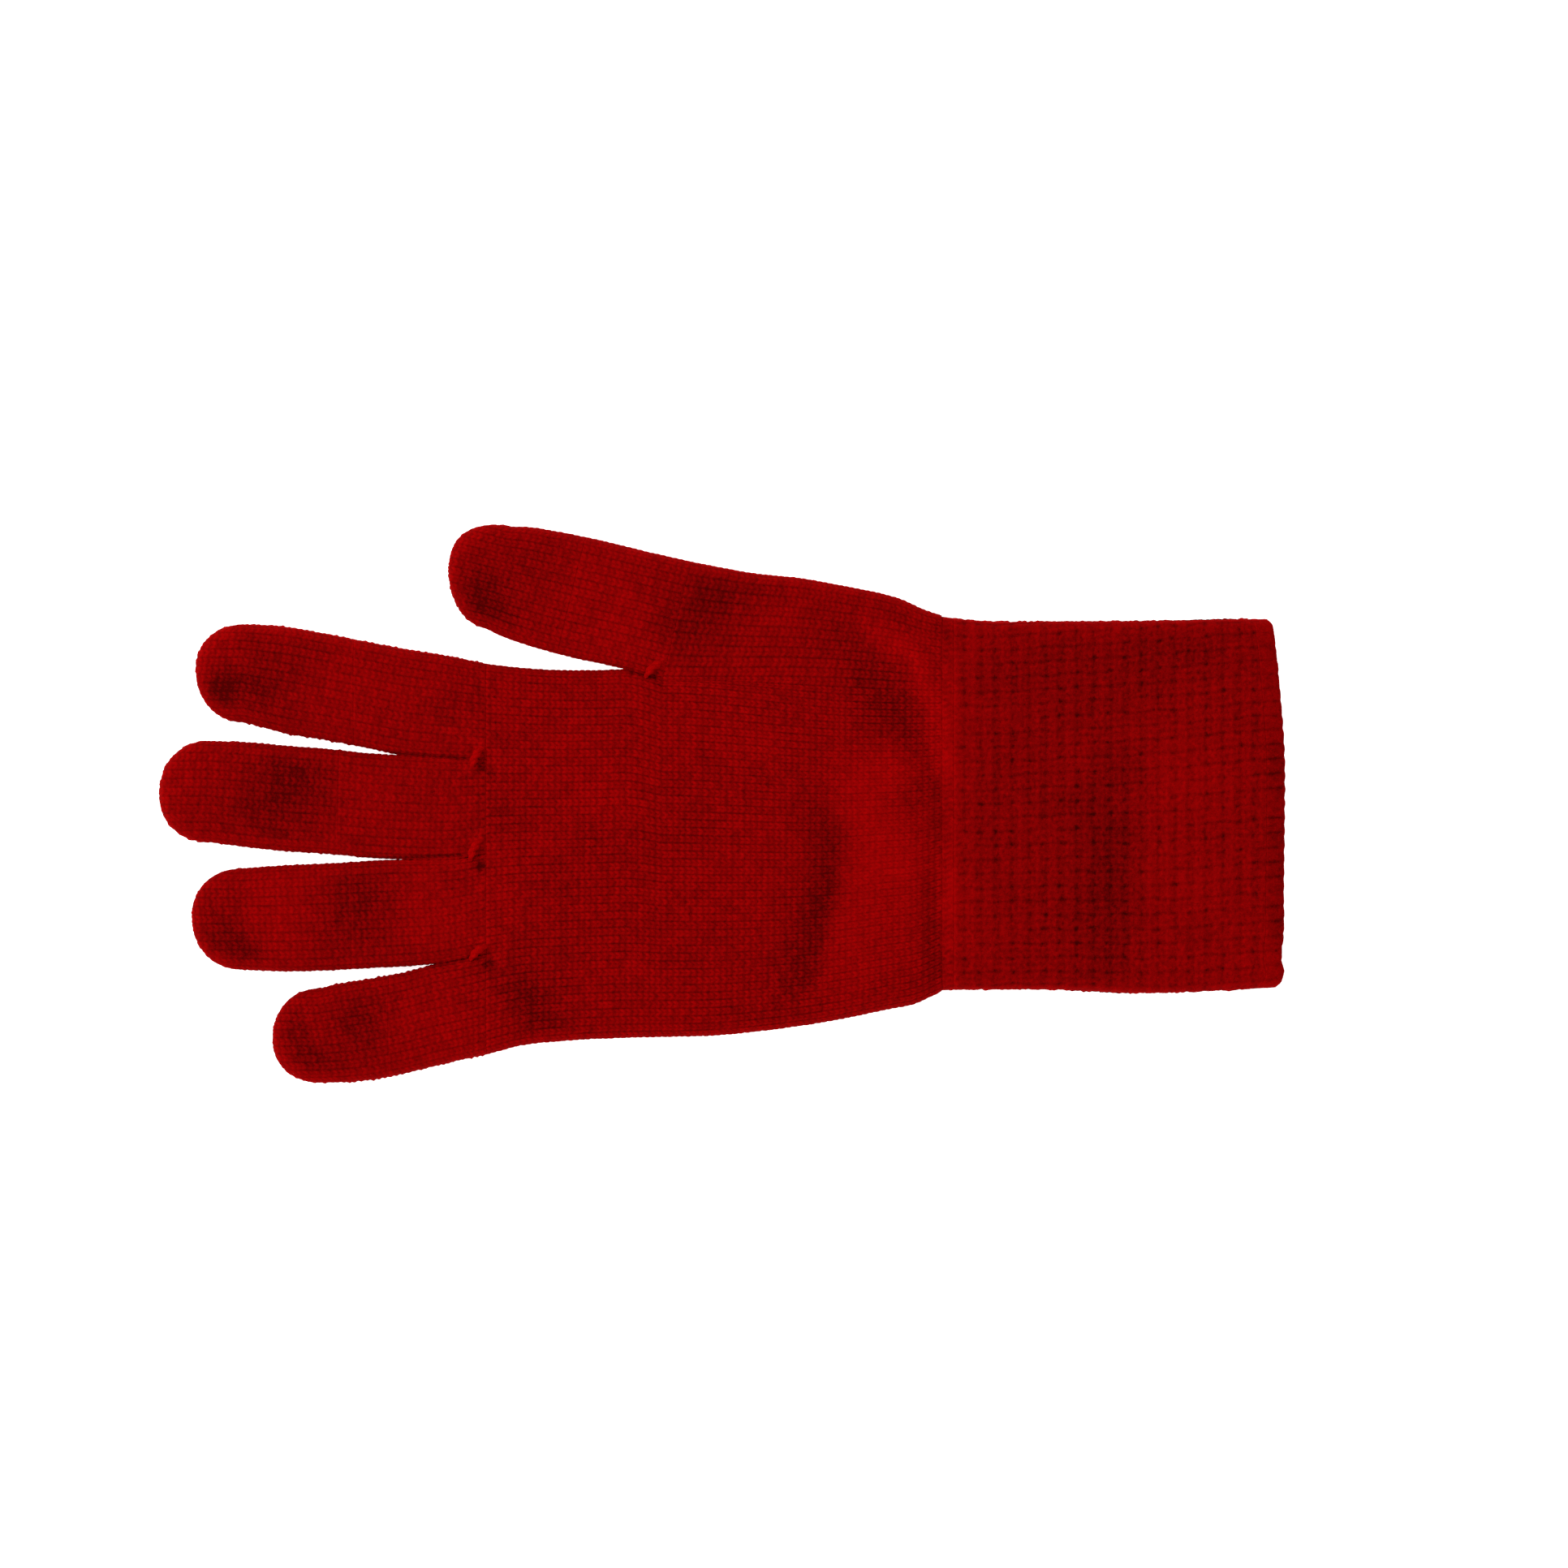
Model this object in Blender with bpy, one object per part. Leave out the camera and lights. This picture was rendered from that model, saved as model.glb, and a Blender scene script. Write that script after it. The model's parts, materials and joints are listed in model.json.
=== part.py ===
"""Knitted glove with a ribbed cuff, lying flat, palm up: fingers along -X, thumb towards +Y.

Each fabric section is a flattened tube with a rounded rim. Lengths below are in millimetres.
The glove folds upwards, so every fold line lies on the upper surface.
"""

import math

import bmesh
import bpy

MM = 0.001
THICK = 9.0
WALL = 1.8
GAP = 0.3
RIM_STEPS = 6
TIP_STEPS = 14
PIERCE = 1.5

KNUCKLE_X = -54.2
WRIST_X = 53.5
SEAM_LENGTH = 2.5
WELT_LENGTH = 4.3
MOUTH_X = 130.0
CUFF_TOP_Y = 42.3
CUFF_LOW_Y = -42.7

# Each digit: middle of its root, centre of its round tip, half widths there, root-to-middle fold.
DIGITS = {
    "index": ((-54.2, 21.3), (-110.3, 30.1), 10.3, 11.2, 30.5),
    "middle": ((-54.2, -0.7), (-118.6, 1.8), 10.2, 11.4, 34.0),
    "ring": ((-54.2, -24.1), (-111.1, -26.6), 10.6, 11.4, 31.0),
    "little": ((-54.2, -46.6), (-93.3, -54.2), 9.8, 10.4, 22.5),
    "thumb": ((-10.2, 42.3), (-51.3, 52.3), 13.0, 12.3, 25.0),
}

# Lower and upper edges of the hand between the knuckle line and the wrist.
PALM_LOW_EDGE = (
    (-45.0, -55.4),
    (-33.0, -54.4),
    (-2.0, -53.4),
    (18.0, -51.2),
    (32.0, -48.3),
    (43.0, -45.3),
)
PALM_TOP_EDGE = (
    (45.0, 44.9),
    (36.0, 47.8),
    (20.0, 51.0),
    (3.0, 53.4),
)
THUMB_CROTCH_EDGE = (
    (-19.0, 29.3),
    (-30.0, 30.1),
    (-42.0, 31.2),
)

# Fork ties stand between the two layers where the digits part.
FORKS = {
    "fork_tie_index_middle": (-51.6, 10.3),
    "fork_tie_middle_ring": (-51.6, -12.2),
    "fork_tie_ring_little": (-51.6, -35.7),
    "fork_tie_thumb": (-10.6, 24.8),
}
FORK_SIZE = (3.4, 1.6, 4.8)

COLOURS = {
    "knit": (0.262, 0.004, 0.005),
    "rib": (0.250, 0.004, 0.005),
    "edge": (0.285, 0.005, 0.006),
    "stitch": (0.300, 0.006, 0.007),
}


def clear_scene():
    for old in list(bpy.data.objects):
        bpy.data.objects.remove(old)


def fabric(name):
    """One knitted yarn material for one piece."""
    slot = slot_of(name)
    made = bpy.data.materials.new(f"{name}_{slot}")
    made.use_nodes = True
    shader = made.node_tree.nodes["Principled BSDF"]
    shader.inputs["Base Color"].default_value = (*COLOURS[slot], 1.0)
    shader.inputs["Roughness"].default_value = 0.9
    shader.inputs["Sheen Weight"].default_value = 0.25
    return made


def slot_of(name):
    if name.startswith("fork_tie"):
        return "stitch"
    if name in ("wrist_seam", "cuff_welt"):
        return "edge"
    if name == "rib_cuff":
        return "rib"
    return "knit"


def inset(points, open_edges, depth, reach):
    """The outline moved inwards by depth; open edges move outwards by reach instead."""
    lines = []
    for i, (ax, ay) in enumerate(points):
        bx, by = points[(i + 1) % len(points)]
        length = math.hypot(bx - ax, by - ay)
        dx, dy = (bx - ax) / length, (by - ay) / length
        move = -reach if i in open_edges else depth
        lines.append((ax - dy * move, ay + dx * move, dx, dy))
    moved = []
    for i, (qx, qy, ex, ey) in enumerate(lines):
        px, py, dx, dy = lines[i - 1]
        turn = dx * ey - dy * ex
        along = ((qx - px) * ey - (qy - py) * ex) / turn
        moved.append((px + dx * along, py + dy * along))
    return moved


def pillow(name, outline, open_edges, shell, reach):
    """A flat body with a half-round rim, shell deep inside the outline; open edges stay plane."""
    radius = THICK / 2 - shell
    body = bmesh.new()
    loops = []
    for step in range(RIM_STEPS + 1):
        angle = math.pi * (step / RIM_STEPS - 0.5)
        depth = shell + radius * (1 - math.cos(angle))
        height = THICK / 2 + radius * math.sin(angle)
        ring = inset(outline, open_edges, depth, reach)
        loops.append([body.verts.new((x * MM, y * MM, height * MM)) for x, y in ring])
    body.faces.new(list(reversed(loops[0])))
    for low, high in zip(loops, loops[1:]):
        for i in range(len(low)):
            j = (i + 1) % len(low)
            body.faces.new((low[i], low[j], high[j], high[i]))
    body.faces.new(loops[-1])
    mesh = bpy.data.meshes.new(name)
    body.to_mesh(mesh)
    body.free()
    made = bpy.data.objects.new(name, mesh)
    bpy.context.scene.collection.objects.link(made)
    return made


def hollow(solid, cavity):
    """Takes the cavity out of the solid and keeps the result in the solid's own mesh."""
    cavity.hide_render = True
    cavity.display_type = "WIRE"
    cut = solid.modifiers.new("hollow", "BOOLEAN")
    cut.operation = "DIFFERENCE"
    cut.solver = "EXACT"
    cut.object = cavity
    graph = bpy.context.evaluated_depsgraph_get()
    result = bpy.data.meshes.new_from_object(solid.evaluated_get(graph))
    solid.modifiers.remove(cut)
    old = solid.data
    solid.data = result
    bpy.data.meshes.remove(old)
    bpy.data.objects.remove(cavity)
    result.name = solid.name


def set_origin(piece, x, y, z):
    """Moves the piece's origin to a point given in millimetres."""
    for vertex in piece.data.vertices:
        vertex.co.x -= x * MM
        vertex.co.y -= y * MM
        vertex.co.z -= z * MM
    piece.location = (x * MM, y * MM, z * MM)


def finish(piece):
    """Material, and smooth shading except across the sharp mouths."""
    piece.data.materials.clear()
    piece.data.materials.append(fabric(piece.name))
    piece.data.shade_smooth()
    piece.data.set_sharp_from_angle(angle=math.radians(40))


def tube(name, outline, open_edges):
    """A hollow fabric section, open at its open edges."""
    solid = pillow(name, outline, open_edges, 0.0, 0.0)
    hollow(solid, pillow(name + "_cavity", outline, open_edges, WALL, PIERCE))
    return solid


def direction(digit):
    (bx, by), (tx, ty) = DIGITS[digit][:2]
    length = math.hypot(tx - bx, ty - by)
    return (tx - bx) / length, (ty - by) / length


def fold_normal(digit):
    """Fingers fold on lines parallel to Y, the thumb square to itself."""
    return direction(digit) if digit == "thumb" else (-1.0, 0.0)


def side_point(digit, side, along):
    """Where a digit's side line meets the fold plane that lies along from its root."""
    (bx, by), (tx, ty), half_root, half_tip, _ = DIGITS[digit]
    dx, dy = direction(digit)
    ax, ay = bx + dy * side * half_root, by - dx * side * half_root
    cx, cy = tx + dy * side * half_tip, ty - dx * side * half_tip
    nx, ny = fold_normal(digit)
    start = (ax - bx) * nx + (ay - by) * ny
    end = (cx - bx) * nx + (cy - by) * ny
    share = (along - start) / (end - start)
    return ax + (cx - ax) * share, ay + (cy - ay) * share


def axis_point(digit, along):
    """The point on a digit's middle line at the fold plane that lies along from its root."""
    bx, by = DIGITS[digit][0]
    dx, dy = direction(digit)
    nx, ny = fold_normal(digit)
    share = along / (dx * nx + dy * ny)
    return bx + dx * share, by + dy * share


def tip_arc(digit):
    """The round end of a digit, counter-clockwise, without the two tangent points' repeats."""
    tx, ty = DIGITS[digit][1]
    radius = DIGITS[digit][3]
    dx, dy = direction(digit)
    heading = math.atan2(dy, dx)
    arc = []
    for step in range(TIP_STEPS + 1):
        angle = heading - math.pi / 2 + math.pi * step / TIP_STEPS
        arc.append((tx + radius * math.cos(angle), ty + radius * math.sin(angle)))
    return arc


def digit_lower(digit):
    fold = DIGITS[digit][4]
    outline = [
        side_point(digit, 1, GAP / 2),
        side_point(digit, 1, fold - GAP / 2),
        side_point(digit, -1, fold - GAP / 2),
        side_point(digit, -1, GAP / 2),
    ]
    piece = tube(f"{digit}_lower_tube", outline, (1, 3))
    set_origin(piece, *axis_point(digit, 0.0), THICK)
    finish(piece)


def digit_upper(digit):
    fold = DIGITS[digit][4]
    arc = tip_arc(digit)
    outline = [side_point(digit, 1, fold + GAP / 2)]
    outline += arc
    outline.append(side_point(digit, -1, fold + GAP / 2))
    piece = tube(f"{digit}_tip_pocket", outline, (len(outline) - 1,))
    set_origin(piece, *axis_point(digit, fold), THICK)
    finish(piece)


def hand_outline():
    """Counter-clockwise from the little finger's side of the knuckle line."""
    face = KNUCKLE_X + GAP / 2
    wrist = WRIST_X - GAP / 2 - SEAM_LENGTH - GAP
    low_root = side_point("little", -1, -GAP / 2)
    top_root = side_point("index", 1, -GAP / 2)
    points = [(face, low_root[1])]
    points += PALM_LOW_EDGE
    points += [(wrist, CUFF_LOW_Y - 0.5), (wrist, CUFF_TOP_Y + 0.3)]
    points += PALM_TOP_EDGE
    points += [side_point("thumb", 1, -GAP / 2), side_point("thumb", -1, -GAP / 2)]
    points += THUMB_CROTCH_EDGE
    points.append((face, top_root[1]))
    return points


def hand_tube():
    outline = hand_outline()
    wrist_edge = len(PALM_LOW_EDGE) + 1
    thumb_edge = wrist_edge + len(PALM_TOP_EDGE) + 2
    finish(tube("hand_tube", outline, (wrist_edge, thumb_edge, len(outline) - 1)))


def band(name, start, end, top, low):
    """A short or long tube across the hand, open at both ends."""
    outline = [(start, low), (end, low), (end, top), (start, top)]
    piece = tube(name, outline, (1, 3))
    finish(piece)
    return piece


def cuff():
    seam_start = WRIST_X - GAP / 2 - SEAM_LENGTH
    band("wrist_seam", seam_start, WRIST_X - GAP / 2, CUFF_TOP_Y + 0.3, CUFF_LOW_Y - 0.3)
    welt_start = MOUTH_X - WELT_LENGTH
    rib = band("rib_cuff", WRIST_X + GAP / 2, welt_start - GAP, CUFF_TOP_Y, CUFF_LOW_Y)
    welt = band("cuff_welt", welt_start, MOUTH_X, CUFF_TOP_Y + 0.4, CUFF_LOW_Y + 0.1)
    for piece in (rib, welt):
        set_origin(piece, WRIST_X, 0.0, THICK)


def fork_tie(name):
    """The short bar of closing stitches that holds the two layers together at a crotch."""
    x, y = FORKS[name]
    body = bmesh.new()
    bmesh.ops.create_cube(body, size=1.0)
    for vertex in body.verts:
        vertex.co.x = vertex.co.x * FORK_SIZE[0] * MM
        vertex.co.y = vertex.co.y * FORK_SIZE[1] * MM
        vertex.co.z = vertex.co.z * FORK_SIZE[2] * MM
    upright = [e for e in body.edges if abs(e.verts[0].co.z - e.verts[1].co.z) > MM]
    bmesh.ops.bevel(body, geom=upright, offset=0.7 * MM, segments=3, profile=0.5, affect="EDGES")
    mesh = bpy.data.meshes.new(name)
    body.to_mesh(mesh)
    body.free()
    piece = bpy.data.objects.new(name, mesh)
    bpy.context.scene.collection.objects.link(piece)
    piece.location = (x * MM, y * MM, THICK / 2 * MM)
    finish(piece)


clear_scene()
hand_tube()
cuff()
for digit_name in DIGITS:
    digit_lower(digit_name)
    digit_upper(digit_name)
for fork_name in FORKS:
    fork_tie(fork_name)
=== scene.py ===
"""Red knitted glove with a waffle-rib cuff, lying palm up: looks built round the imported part.

Plan positions inside the script are in millimetres in the part's own frame. Every section is a
closed fabric tube: a fine upper face, a coarser lower face and a plain inner face.
"""

import json
import math

import bmesh
import bpy
import numpy as np
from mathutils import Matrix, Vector


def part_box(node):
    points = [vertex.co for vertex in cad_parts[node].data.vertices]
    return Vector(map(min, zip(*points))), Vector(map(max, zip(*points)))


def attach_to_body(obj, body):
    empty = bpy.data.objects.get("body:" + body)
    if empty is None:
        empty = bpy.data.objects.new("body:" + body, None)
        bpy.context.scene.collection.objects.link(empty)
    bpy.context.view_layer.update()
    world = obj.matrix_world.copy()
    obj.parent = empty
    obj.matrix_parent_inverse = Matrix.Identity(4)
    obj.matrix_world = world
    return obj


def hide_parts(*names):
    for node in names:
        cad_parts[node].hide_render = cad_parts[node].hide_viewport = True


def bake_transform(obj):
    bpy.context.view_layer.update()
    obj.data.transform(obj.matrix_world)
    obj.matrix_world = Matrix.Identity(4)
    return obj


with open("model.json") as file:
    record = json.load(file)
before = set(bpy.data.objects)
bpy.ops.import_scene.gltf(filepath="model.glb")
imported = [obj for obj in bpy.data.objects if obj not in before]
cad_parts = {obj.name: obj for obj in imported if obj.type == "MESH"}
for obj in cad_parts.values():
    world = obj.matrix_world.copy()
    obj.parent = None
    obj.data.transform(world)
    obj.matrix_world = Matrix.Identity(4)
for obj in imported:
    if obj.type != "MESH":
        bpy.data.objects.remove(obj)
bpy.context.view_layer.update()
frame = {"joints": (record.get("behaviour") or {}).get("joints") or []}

MM = 0.001


def node_box(name):
    low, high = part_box(name)
    return np.array(low) / MM, np.array(high) / MM


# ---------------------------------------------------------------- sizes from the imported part

# Height of the middle plane, how far the upper and lower faces stand from it, and the fabric's thickness.
MID = 4.5
TOP_HALF = 4.35
LOW_HALF = 4.2
WALL = 1.6
# Width of the rounded rim along a folded edge, and its roundness.
RIM = 8.0
RIM_POWER = 2.6

KNUCKLE_X = (node_box("hand_tube")[0][0] + node_box("index_lower_tube")[1][0]) / 2
SEAM_X = node_box("wrist_seam")[0][0]
CUFF_X = (node_box("wrist_seam")[1][0] + node_box("rib_cuff")[0][0]) / 2
WELT_X = node_box("cuff_welt")[0][0]
MOUTH_X = node_box("cuff_welt")[1][0]
JOINTS = {j["name"]: j for j in frame["joints"]}


def hinge(name):
    return np.array(JOINTS[name]["pos_m"][:2]) / MM


# ---------------------------------------------------------------- rim shape and fabric lengths

_x = (1 - np.cos(np.linspace(0, math.pi / 2, 400))) * RIM


def rim_height(depth):
    """Height over the middle plane, as a share of the half thickness, at a depth inside the edge."""
    s = 1 - np.clip(depth / RIM, 0, 1)
    return (1 - s**RIM_POWER) ** (1 / RIM_POWER)


_h = rim_height(_x) * TOP_HALF
_arc = np.concatenate([[0], np.cumsum(np.hypot(np.diff(_x), np.diff(_h)))])
RIM_ARC = float(_arc[-1])


def depth_at(fabric):
    """Plan depth inside the edge for a length of fabric measured from the edge."""
    return np.where(fabric < RIM_ARC, np.interp(fabric, _arc, _x), RIM + fabric - RIM_ARC)


def across(share, width, low=1.0, high=1.0):
    """Plan offset from the low side for a share of the fabric between two sides.

    low and high say how far each side is a rounded rim (1) or still flat fabric (0).
    """
    extra = RIM_ARC - RIM
    narrow = np.minimum(1, width / (2 * RIM))
    total = width + extra * narrow * (low + high)
    f = share * total

    def gained(length):
        length = length / narrow
        return np.where(length < RIM_ARC, length - depth_at(length), extra) * narrow

    return f - low * gained(f) - high * (extra * narrow - gained(total - f))


def smooth(x, xs, ys):
    """Smooth curve through stations (cubic with averaged slopes)."""
    xs, ys = np.asarray(xs, float), np.asarray(ys, float)
    if xs[0] > xs[-1]:
        xs, ys = xs[::-1], ys[::-1]
    slope = np.gradient(ys, xs)
    x = np.clip(x, xs[0], xs[-1])
    i = np.clip(np.searchsorted(xs, x) - 1, 0, len(xs) - 2)
    step = xs[i + 1] - xs[i]
    t = (x - xs[i]) / step
    return (
        (2 * t**3 - 3 * t**2 + 1) * ys[i]
        + (t**3 - 2 * t**2 + t) * step * slope[i]
        + (3 * t**2 - 2 * t**3) * ys[i + 1]
        + (t**3 - t**2) * step * slope[i + 1]
    )


def ease(x):
    x = np.clip(x, 0, 1)
    return x * x * (3 - 2 * x)


# ---------------------------------------------------------------- outlines

HAND_LOW = (
    (SEAM_X, -43.3),
    (45.2, -46.0),
    (37.7, -47.6),
    (30.2, -49.2),
    (20.8, -50.9),
    (11.4, -52.2),
    (-1.7, -53.5),
    (-16.7, -53.9),
    (-35.5, -54.7),
    (-46.7, -55.9),
    (KNUCKLE_X, -57.9),
)
HAND_TOP = (
    (SEAM_X, 43.6),
    (47.1, 44.8),
    (41.5, 47.3),
    (35.8, 48.9),
    (30.2, 50.0),
    (24.6, 51.1),
    (18.9, 52.1),
    (7.7, 53.3),
    (0.2, 54.6),
    (-6.9, 56.0),
)
CROTCH = np.array((-13.5, 28.7))
THUMB_TOP = HAND_TOP[-1]
HAND_FREE = (
    tuple(CROTCH),
    (-21.4, 31.0),
    (-28.0, 30.9),
    (-35.5, 30.9),
    (-42.9, 31.2),
    (-48.6, 31.7),
    (KNUCKLE_X, 32.4),
)

# Fingers: (x, upper edge, lower edge) from the knuckle line outwards, then how far the round tip
# reaches past the last station, and how much further it reaches on its thumb side.
FINGERS = {
    "index": (
        ((KNUCKLE_X, 32.4, 10.35), (-63.6, 34.3, 10.5), (-73.0, 35.8, 11.2), (-82.4, 37.6, 13.0),
         (-91.7, 39.4, 14.8), (-101.1, 41.0, 16.4), (-110.3, 41.5, 18.9)),
        11.2, 0.05),
    "middle": (
        ((KNUCKLE_X, 10.25, -11.45), (-61.7, 10.4, -12.7), (-73.0, 11.1, -12.75), (-82.4, 11.8, -12.3),
         (-91.7, 12.8, -11.5), (-101.1, 13.5, -10.9), (-110.5, 14.3, -9.9), (-118.2, 14.6, -8.9)),
        11.75, -0.04),
    "ring": (
        ((KNUCKLE_X, -11.55, -34.55), (-61.7, -12.8, -36.15), (-66.4, -12.9, -36.98),
         (-73.0, -12.95, -37.5), (-82.4, -13.3, -38.0), (-91.7, -13.8, -38.5),
         (-101.1, -14.2, -38.7), (-110.7, -14.9, -38.3)),
        11.7, 0.03),
    "little": (
        ((KNUCKLE_X, -34.65, -57.9), (-61.7, -36.25, -59.5), (-66.4, -37.08, -60.6),
         (-71.1, -38.4, -61.8), (-82.4, -40.6, -63.9), (-89.9, -41.9, -64.4), (-93.0, -42.7, -64.4)),
        10.75, -0.05),
}
# Thumb, square to its own fold line: (distance from the fold, upper edge, lower edge).
THUMB = ((0.0, 14.1, -14.0), (10.0, 13.9, -13.7), (22.0, 13.9, -14.0), (32.0, 13.5, -13.7),
         (38.8, 12.9, -13.0), (42.4, 12.1, -12.2))
THUMB_TIP = (12.0, 0.17)

THUMB_ROOT = hinge("thumb_knuckle")
THUMB_ALONG = hinge("thumb_middle_fold") - THUMB_ROOT
THUMB_ALONG /= np.linalg.norm(THUMB_ALONG)
THUMB_UP = np.array((THUMB_ALONG[1], -THUMB_ALONG[0]))

CUFF_TOP = (
    (SEAM_X, 43.3),
    (CUFF_X + 1.0, 42.8),
    (60.0, 42.3),
    (80.0, 42.2),
    (105.0, 42.4),
    (122.0, 42.7),
    (131.0, 42.6),
)
CUFF_LOW = (
    (SEAM_X, -43.1),
    (CUFF_X + 1.0, -42.9),
    (60.0, -42.9),
    (80.0, -43.0),
    (98.0, -43.7),
    (115.0, -43.2),
    (131.0, -42.3),
)
# How far the cuff's mouth stands back from a straight edge: (y, offset along x).
MOUTH_EDGE = (
    (-43.5, -3.4), (-42.3, -1.9), (-41.0, -0.8), (-39.0, -0.2), (-36.5, -0.75),
    (-33.5, -0.75), (-30.5, -0.4), (-20.5, -0.3), (0.0, -0.05), (9.5, -0.05),
    (26.4, -1.2), (38.0, -2.4), (41.4, -2.9), (42.3, -3.5), (43.0, -4.4),
)


def curve(points, count=160):
    """Dense points of a smooth curve through (x, y) stations."""
    p = np.array(points)
    x = np.linspace(p[0, 0], p[-1, 0], count)
    return np.stack([x, smooth(x, p[:, 0], p[:, 1])], 1)


def distance(x, y, lines):
    """Distance from plan points to the nearest of some polylines."""
    best = np.full(x.shape, 1e9)
    for line in lines:
        if len(line) == 1:
            best = np.minimum(best, np.hypot(x - line[0][0], y - line[0][1]))
            continue
        for (ax, ay), (bx, by) in zip(line[:-1], line[1:]):
            dx, dy = bx - ax, by - ay
            t = np.clip(((x - ax) * dx + (y - ay) * dy) / max(dx * dx + dy * dy, 1e-12), 0, 1)
            best = np.minimum(best, np.hypot(x - ax - t * dx, y - ay - t * dy))
    return best


# ---------------------------------------------------------------- knit patterns

# Courses from wrist to knuckles, and the course where the thumb parts from the hand.
COURSES = 77
COURSE = (SEAM_X - KNUCKLE_X) / COURSES
THUMB_COURSE = 47
# Wales across the hand below the thumb's gusset, across the gusset, across the seam, and a wale's width.
WALES_FINGERS = 48
WALES_THUMB = 12
SEAM_WALES = 64
WALE = 1.97
# The waffle's cell along the cuff, and how many cells lie across it.
CELL_X = 3.72
CELLS_Y = 28
# Grid points for each course, wale and waffle cell.
PER_COURSE = 4
PER_WALE = 6
PER_CELL = 10
# Relief of the plain knit, the waffle, the wrist seam and the welt, and how far single stitches
# stand out of the outline.
STITCH = 0.27
WAFFLE = 0.38
SEAM_RELIEF = 0.3
WELT_RELIEF = 0.4
RAGGED = 0.26


def hashed(a, b):
    v = np.sin(a * 127.1 + b * 311.7) * 43758.5453
    return v - np.floor(v)


def mottle(a, b):
    """Smooth random field, 0..1, one value for each whole step of a and b."""
    i, j = np.floor(a), np.floor(b)
    u, v = ease(a - i), ease(b - j)
    low = hashed(i, j) * (1 - u) + hashed(i + 1, j) * u
    high = hashed(i, j + 1) * (1 - u) + hashed(i + 1, j + 1) * u
    return low * (1 - v) + high * v


def stockinette(w, c):
    """Height 0..1 of a plain knit face at wale coordinate w and course coordinate c."""
    a = np.abs(w - np.floor(w) - 0.5) * 2
    wale, course = np.floor(w), np.floor(c - 0.5 * a)
    phase = c - 0.5 * a + (hashed(wale, course) - 0.5) * 0.24
    leg = (0.5 - 0.5 * np.cos(2 * math.pi * phase)) ** 0.75
    groove = 1 - (0.42 + 0.55 * mottle(w + 0.5, c * 0.35)) * np.exp(-(((1 - a) / 0.24) ** 2))
    centre = 1 - 0.35 * np.exp(-((a / 0.20) ** 2))
    plump = 0.74 + 0.46 * hashed(wale + 0.3, course)
    return np.clip((0.36 + 0.64 * leg) * groove * centre * plump, 0, 1)


def crispness(x, y):
    """How clearly the plain stitches stand out: less on the digits and over the heel of the hand."""
    digits = np.maximum(ease((KNUCKLE_X - x) / 10), ease((y - 26) / 14))
    heel = np.exp(-0.5 * (((x - 34) / 11) ** 2 + ((y + 12) / 18) ** 2))
    return 1 - (0.17 * digits + 0.30 * heel) * (x < SEAM_X)


def waffle(u, v):
    """Height 0..1 of the cuff: pits where thin wavy grooves cross the low courses."""
    row = np.floor(v + 0.5)
    v = v + 0.05 * np.sin(u * 2.3 + row * 1.9) + 0.08 * (mottle(u * 0.9, row * 3.1) - 0.5)
    fu, fv = u - np.floor(u + 0.5), v - np.floor(v + 0.5)
    column = np.floor(u + 0.5)
    fu = fu + (hashed(row, column) - 0.5) * 0.14
    ridge = 0.5 + 0.5 * np.cos(2 * math.pi * (fu + 0.5))
    groove = np.exp(-((fv / 0.085) ** 2)) * (0.35 + 0.65 * mottle(u * 1.3, row))
    pit = np.exp(-((fu / 0.15) ** 2 + (fv / 0.20) ** 2))
    pit = pit * (0.26 + 0.74 * hashed(row * 1.7, column * 0.9) ** 1.2)
    course = 0.5 - 0.5 * np.cos(2 * math.pi * (u * 2.75 + 0.8 * np.abs(fv)))
    wale = 0.5 - 0.5 * np.cos(2 * math.pi * v * 2)
    grain = mottle(u * 8.0, v * 6.5) - 0.5
    body = 0.45 + 0.16 * ridge + 0.17 * course + 0.14 * wale + 0.38 * grain
    return np.clip(body - 0.17 * groove - 0.37 * pit, 0, 1)


def seam_pattern(w, c):
    """The soft raised course where the hand closes onto the cuff."""
    fine = 0.5 - 0.5 * np.cos(2 * math.pi * (w + 0.2 * np.sin(2 * math.pi * c)))
    return np.clip(0.30 + 0.30 * fine + 0.5 * mottle(w * 1.6, c * 2.2 + 3) * mottle(w * 0.45, c), 0, 1)


def welt_pattern(w, c):
    """A smooth band with a short nick at every rib row."""
    f = w - np.floor(w + 0.5)
    nick = np.exp(-((f / 0.10) ** 2)) * ease((0.95 - c) * 4) * (0.3 + 0.7 * hashed(np.floor(w + 0.5), 4.0))
    return np.clip(0.62 + 0.22 * (mottle(w * 3.5, c * 3.2) - 0.5) - 0.5 * nick, 0, 1)


# ---------------------------------------------------------------- how the empty fabric lies

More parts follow.
